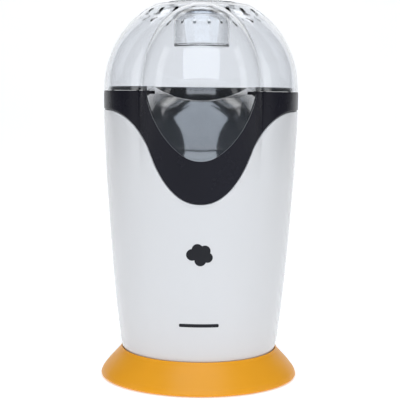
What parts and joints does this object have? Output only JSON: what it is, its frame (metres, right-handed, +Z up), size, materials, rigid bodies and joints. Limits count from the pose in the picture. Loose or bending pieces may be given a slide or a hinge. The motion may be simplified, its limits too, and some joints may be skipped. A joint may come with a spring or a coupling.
{
  "type": "popcorn maker",
  "caption": "Upright hot-air popcorn maker: tapered body on a flared base ring, dark collar with a front spout, clear lift-off dome hood with a measuring cup in its crown.",
  "frame": {"origin": "centre of the footprint's bounding box, on the surface the feet stand on; the body's round axis stands 8.4 mm behind it (+Y)", "axes": "+Z up, -Y out of the spout at the front, +Y the back with the switch and the cord inlet, +X across"},
  "size_m": [0.1576, 0.1744, 0.2976],
  "materials": {
    "white_plastic": "glossy white moulding",
    "dark_plastic": "glossy charcoal moulding with a blue cast",
    "slate_plastic": "glossy slate grey moulding",
    "orange_plastic": "satin orange moulding",
    "clear_plastic": "clear moulded polycarbonate",
    "aluminium": "spun aluminium, satin",
    "steel": "zinc plated steel",
    "rubber": "matte black rubber",
    "black_plastic": "fine-textured black moulding",
    "mica": "mica board",
    "nichrome": "oxidised resistance wire",
    "nylon": "natural heat-resistant moulding",
    "board": "green circuit board",
    "copper": "plated copper tab",
    "red_insulation": "red silicone sleeve",
    "black_insulation": "black silicone sleeve"
  },
  "bodies": {
    "housing": {"base_ring": "orange_plastic", "bottom_plate": "black_plastic", "body_shell": "white_plastic", "collar": "dark_plastic", "chute_deck": "slate_plastic", "popping_chamber": "aluminium", "heater_housing": "steel", "mica_plate_a": "mica", "mica_plate_b": "mica", "heating_coil": "nichrome", "thermostat": "black_plastic", "thermal_fuse": "nylon", "fan_shroud": "nylon", "motor_bracket": "steel", "motor_can": "steel", "motor_end_cap": "nylon", "motor_magnet_a": "black_plastic", "motor_magnet_b": "black_plastic", "rectifier_board": "board", "switch_housing": "black_plastic", "switch_terminal_a": "copper", "switch_terminal_b": "copper", "cord_gland": "rubber", "lead_heater": "red_insulation", "lead_motor": "black_insulation", "foot_1": "rubber", "base_screw_1": "steel", "deck_screw_1": "steel", "diode_1": "black_plastic", "foot_2": "rubber", "base_screw_2": "steel", "deck_screw_2": "steel", "diode_2": "black_plastic", "foot_3": "rubber", "base_screw_3": "steel", "deck_screw_3": "steel", "diode_3": "black_plastic", "foot_4": "rubber", "base_screw_4": "steel", "deck_screw_4": "steel", "diode_4": "black_plastic", "chamber_screw_1": "steel", "housing_screw_1": "steel", "chamber_screw_2": "steel", "housing_screw_2": "steel", "chamber_screw_3": "steel", "housing_screw_3": "steel", "motor_screw_1": "steel", "motor_screw_2": "steel"},
    "hood": {"hood": "clear_plastic"},
    "cup": {"measuring_cup": "clear_plastic"},
    "rocker": {"switch_rocker": "black_plastic"},
    "fan": {"motor_armature": "steel", "fan_impeller": "black_plastic"}
  },
  "joints": [
    {"name": "hood_lift", "type": "slide", "parent": "housing", "child": "hood", "axis": [0, 0, 1], "range_m": [0, 0.12]},
    {"name": "cup_lift", "type": "slide", "parent": "hood", "child": "cup", "axis": [0, 0, 1], "range_m": [0, 0.06]},
    {"name": "rocker_tilt", "type": "hinge", "parent": "housing", "child": "rocker", "pos_m": [0, 0.0728, 0.0545], "axis": [1, 0, 0], "range_deg": [-18, 0]},
    {"name": "fan_spin", "type": "hinge", "parent": "housing", "child": "fan", "pos_m": [0, 0.0084, 0.07], "axis": [0, 0, 1], "continuous": true}
  ]
}
